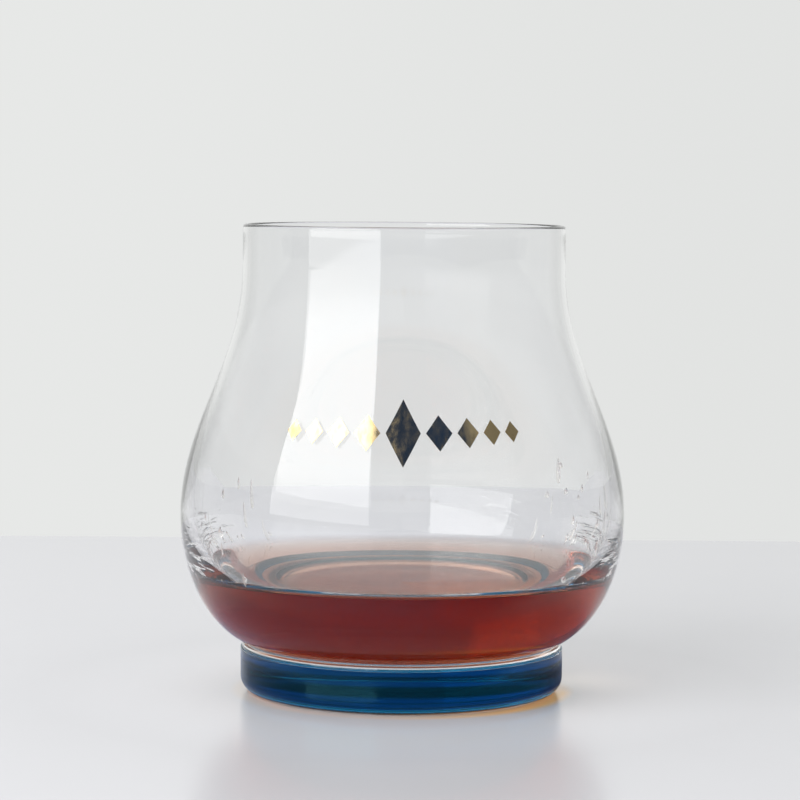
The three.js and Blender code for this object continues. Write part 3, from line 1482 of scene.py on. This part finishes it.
@dataclass
class Studio:
    """Table, surround, light and camera.

    The surround goes by directions of length one. A part of one is its reach along an axis.
    """

    camera_distance: float = 611 * MM
    camera_height: float = 107.3 * MM
    camera_side: float = -0.66 * MM
    camera_pitch: float = math.radians(4.40)
    camera_roll: float = math.radians(0.42)
    camera_clip: float = 10 * MM
    lens: float = 133.4
    sensor: float = 36

    table_back: float = 253 * MM
    table_reach: float = 2.5

    backdrop: Colour = (0.79, 0.80, 0.79)
    backdrop_span: Span = (-0.13, 0.13)  # part to the right
    backdrop_levels: Span = (1.01, 0.965)  # left and right
    fill: float = 0.95

    room: Colour = (0.014, 0.035, 0.13)  # as gloss shows it
    behind: Span = (0.1, 0.7)  # part to the back
    wings: float = 1.15
    wings_start: Span = (0.12, 0.2)  # part to either side
    far_wings: float = 0.5
    far_wings_start: Span = (0.45, 0.7)  # part to either side
    ceiling: float = 0.7
    ceiling_span: Span = (0.8, 0.9)  # part upwards
    side_card: float = 0.45
    side_card_edge: Span = (math.radians(39), math.radians(43))  # from the front to the right
    side_card_hem: Span = (0.3, 0.4)  # part upwards

    cards: int = 8  # as they show through glass
    card_edge: Span = (-0.5, 0.4)  # height of the wave that sets the cards apart
    between_cards: float = 0.9
    band_hem: Span = (0.095, 0.13)  # part upwards
    band_top: Span = (0.26, 0.36)  # part upwards
    band_turn: Span = (-math.radians(11), -math.radians(9))  # from the back to the right
    bright_left: float = 1.3
    dim_right: float = 0.82

    panel_turn: float = math.radians(44.5)
    panel_lean: float = math.radians(4)
    panel_distance: float = 0.8
    panel_width: float = 0.8
    panel_height: float = 0.95
    panel_radiance: float = 3.1
    panel_low: float = 0.6  # brightness at its foot
    panel_full: float = 0.5  # share of its height from which it is full
    panel_hem: float = 0.1
    panel_hem_blur: float = 0.01
    panel_slant: float = -0.085

    def build(self) -> None:
        """Builds the whole studio."""
        self.table()
        self.world()
        self.panel()
        self.camera()

    def table(self) -> None:
        """Lays the table, whose back edge lies a little behind the glass."""
        reach, back = self.table_reach, self.table_back
        corners = [(-reach, -reach, 0), (reach, -reach, 0), (reach, back, 0), (-reach, back, 0)]
        top = new_piece("table_top", corners, faces=[range(len(corners))])
        top.data.materials.append(TABLE.material())

    def world(self) -> None:
        """Sets a pale surround, which glass and gloss see with its darker places."""
        world = bpy.data.worlds.new("studio")
        world.use_nodes = True
        bpy.context.scene.world = world
        nodes = NodeWriter(world.node_tree)
        path = nodes.add("ShaderNodeLightPath").node.outputs
        way = nodes.parts(nodes.add("ShaderNodeTexCoord"))
        level = nodes.mix(path["Is Transmission Ray"], self.fill, self.through(nodes, way))
        seen = nodes.ramp(way["X"], self.backdrop_span, self.backdrop_levels)
        level = nodes.mix(path["Is Camera Ray"], level, seen)
        mirrored = nodes.mirrored()
        gloss = nodes.colours(self.mirror(nodes, way), self.room, self.backdrop)
        aside = nodes.calc("ABSOLUTE", way["X"])
        wings = nodes.ramp(aside, self.far_wings_start, (self.wings, self.far_wings))
        wings = nodes.ramp(aside, self.wings_start, (1.0, wings))
        nodes.fill(world.node_tree.nodes["Background"], {
            "Color": nodes.colours(mirrored, self.backdrop, gloss),
            "Strength": nodes.mix(mirrored, level, wings),
        })

    def mirror(self, nodes: NodeWriter, way: Outputs) -> Socket:
        """The surround as gloss shows it: pale behind and above, a card on the right, and a dark room.

        Args:
            nodes: Writer for the world's tree.
            way: The direction's parts.

        Returns:
            Share of the backdrop's colour in the room's.
        """
        behind = nodes.ramp(way["Y"], self.behind)
        card = nodes.ramp(nodes.turn(way), self.side_card_edge, (0.0, self.side_card))
        card = nodes.product(card, nodes.ramp(way["Z"], self.side_card_hem))
        ceiling = nodes.ramp(way["Z"], self.ceiling_span, (0.0, self.ceiling))
        return nodes.calc("MAXIMUM", nodes.calc("MAXIMUM", behind, ceiling), card)

    def through(self, nodes: NodeWriter, way: Outputs) -> Socket:
        """The surround as it shows through glass: pale cards all round, with a band above the table.

        Args:
            nodes: Writer for the world's tree.
            way: The direction's parts.

        Returns:
            Brightness as a share of the backdrop's.
        """
        turn = nodes.calc("ARCTAN2", way["X"], way["Y"])
        wave = nodes.calc("COSINE", nodes.product(turn, self.cards))
        cards = nodes.ramp(wave, self.card_edge, (self.between_cards, 1.0))
        band = nodes.product(nodes.ramp(way["Z"], self.band_hem), nodes.ramp(way["Z"], self.band_top, FALL))
        sides = nodes.ramp(turn, self.band_turn, (self.bright_left, self.dim_right))
        return nodes.product(cards, nodes.mix(band, 1.0, sides))

    def panel(self) -> None:
        """Sets the soft panel to the left of the camera."""
        light = bpy.data.lights.new("soft_panel", "AREA")
        light.shape = "RECTANGLE"
        light.size = self.panel_width
        light.size_y = self.panel_height
        light.energy = self.panel_radiance * math.pi * self.panel_width * self.panel_height
        light.use_nodes = True
        nodes = NodeWriter(light.node_tree)
        part = nodes.parts(nodes.add("ShaderNodeNewGeometry").node.outputs["Parametric"])
        hem = nodes.calc("MULTIPLY_ADD", part["X"], self.panel_slant, self.panel_hem)
        shows = nodes.ramp(nodes.calc("SUBTRACT", part["Y"], hem), (0.0, self.panel_hem_blur))
        level = nodes.ramp(part["Y"], (0.0, self.panel_full), (self.panel_low, 1.0))
        nodes.fill(light.node_tree.nodes["Emission"], {"Strength": nodes.product(shows, level)})
        lamp = show("soft_panel", light)
        away = Vector((-math.sin(self.panel_turn), -math.cos(self.panel_turn), 0))
        lamp.location = away * self.panel_distance
        lamp.location.z = self.panel_height / 2
        lean = Quaternion((0, 0, 1), self.panel_lean)
        lamp.rotation_euler = (away.to_track_quat("Z", "Y") @ lean).to_euler()

    def camera(self) -> None:
        """Sets the camera at the photograph's place."""
        data = bpy.data.cameras.new("camera")
        data.lens = self.lens
        data.sensor_width = self.sensor
        data.clip_start = self.camera_clip
        camera = show("camera", data)
        camera.location = (self.camera_side, -self.camera_distance, self.camera_height)
        camera.rotation_mode = "QUATERNION"
        level = Euler((math.pi / 2 - self.camera_pitch, 0, 0)).to_quaternion()
        camera.rotation_quaternion = level @ Quaternion((0, 0, 1), self.camera_roll)
        bpy.context.scene.camera = camera


def set_view() -> None:
    """Keeps colours as they are written, and lets light pass all the glass in its way."""
    scene = bpy.context.scene
    scene.view_settings.view_transform = "Standard"
    scene.cycles.max_bounces = LIGHT_BOUNCES
    scene.cycles.transmission_bounces = LIGHT_BOUNCES
    scene.cycles.glossy_bounces = GLOSS_BOUNCES
    scene.cycles.transparent_max_bounces = LIGHT_BOUNCES


def main() -> None:
    """Builds the tumbler's pieces in order, then the studio round them."""
    logging.basicConfig(level=logging.INFO, format="%(name)s: %(message)s")
    set_view()
    form = GlassForm.from_frame()
    lathe = Lathe()
    glass = Glassware(form, lathe)
    bowl = glass.bowl()
    glass.foot()
    FootLacquer(form, lathe).build()
    Pour(form, lathe).build()
    GiltRow(bowl, form).build()
    WhiskyLegs(bowl, form).build()
    Studio().build()


if __name__ == "__main__":
    main()
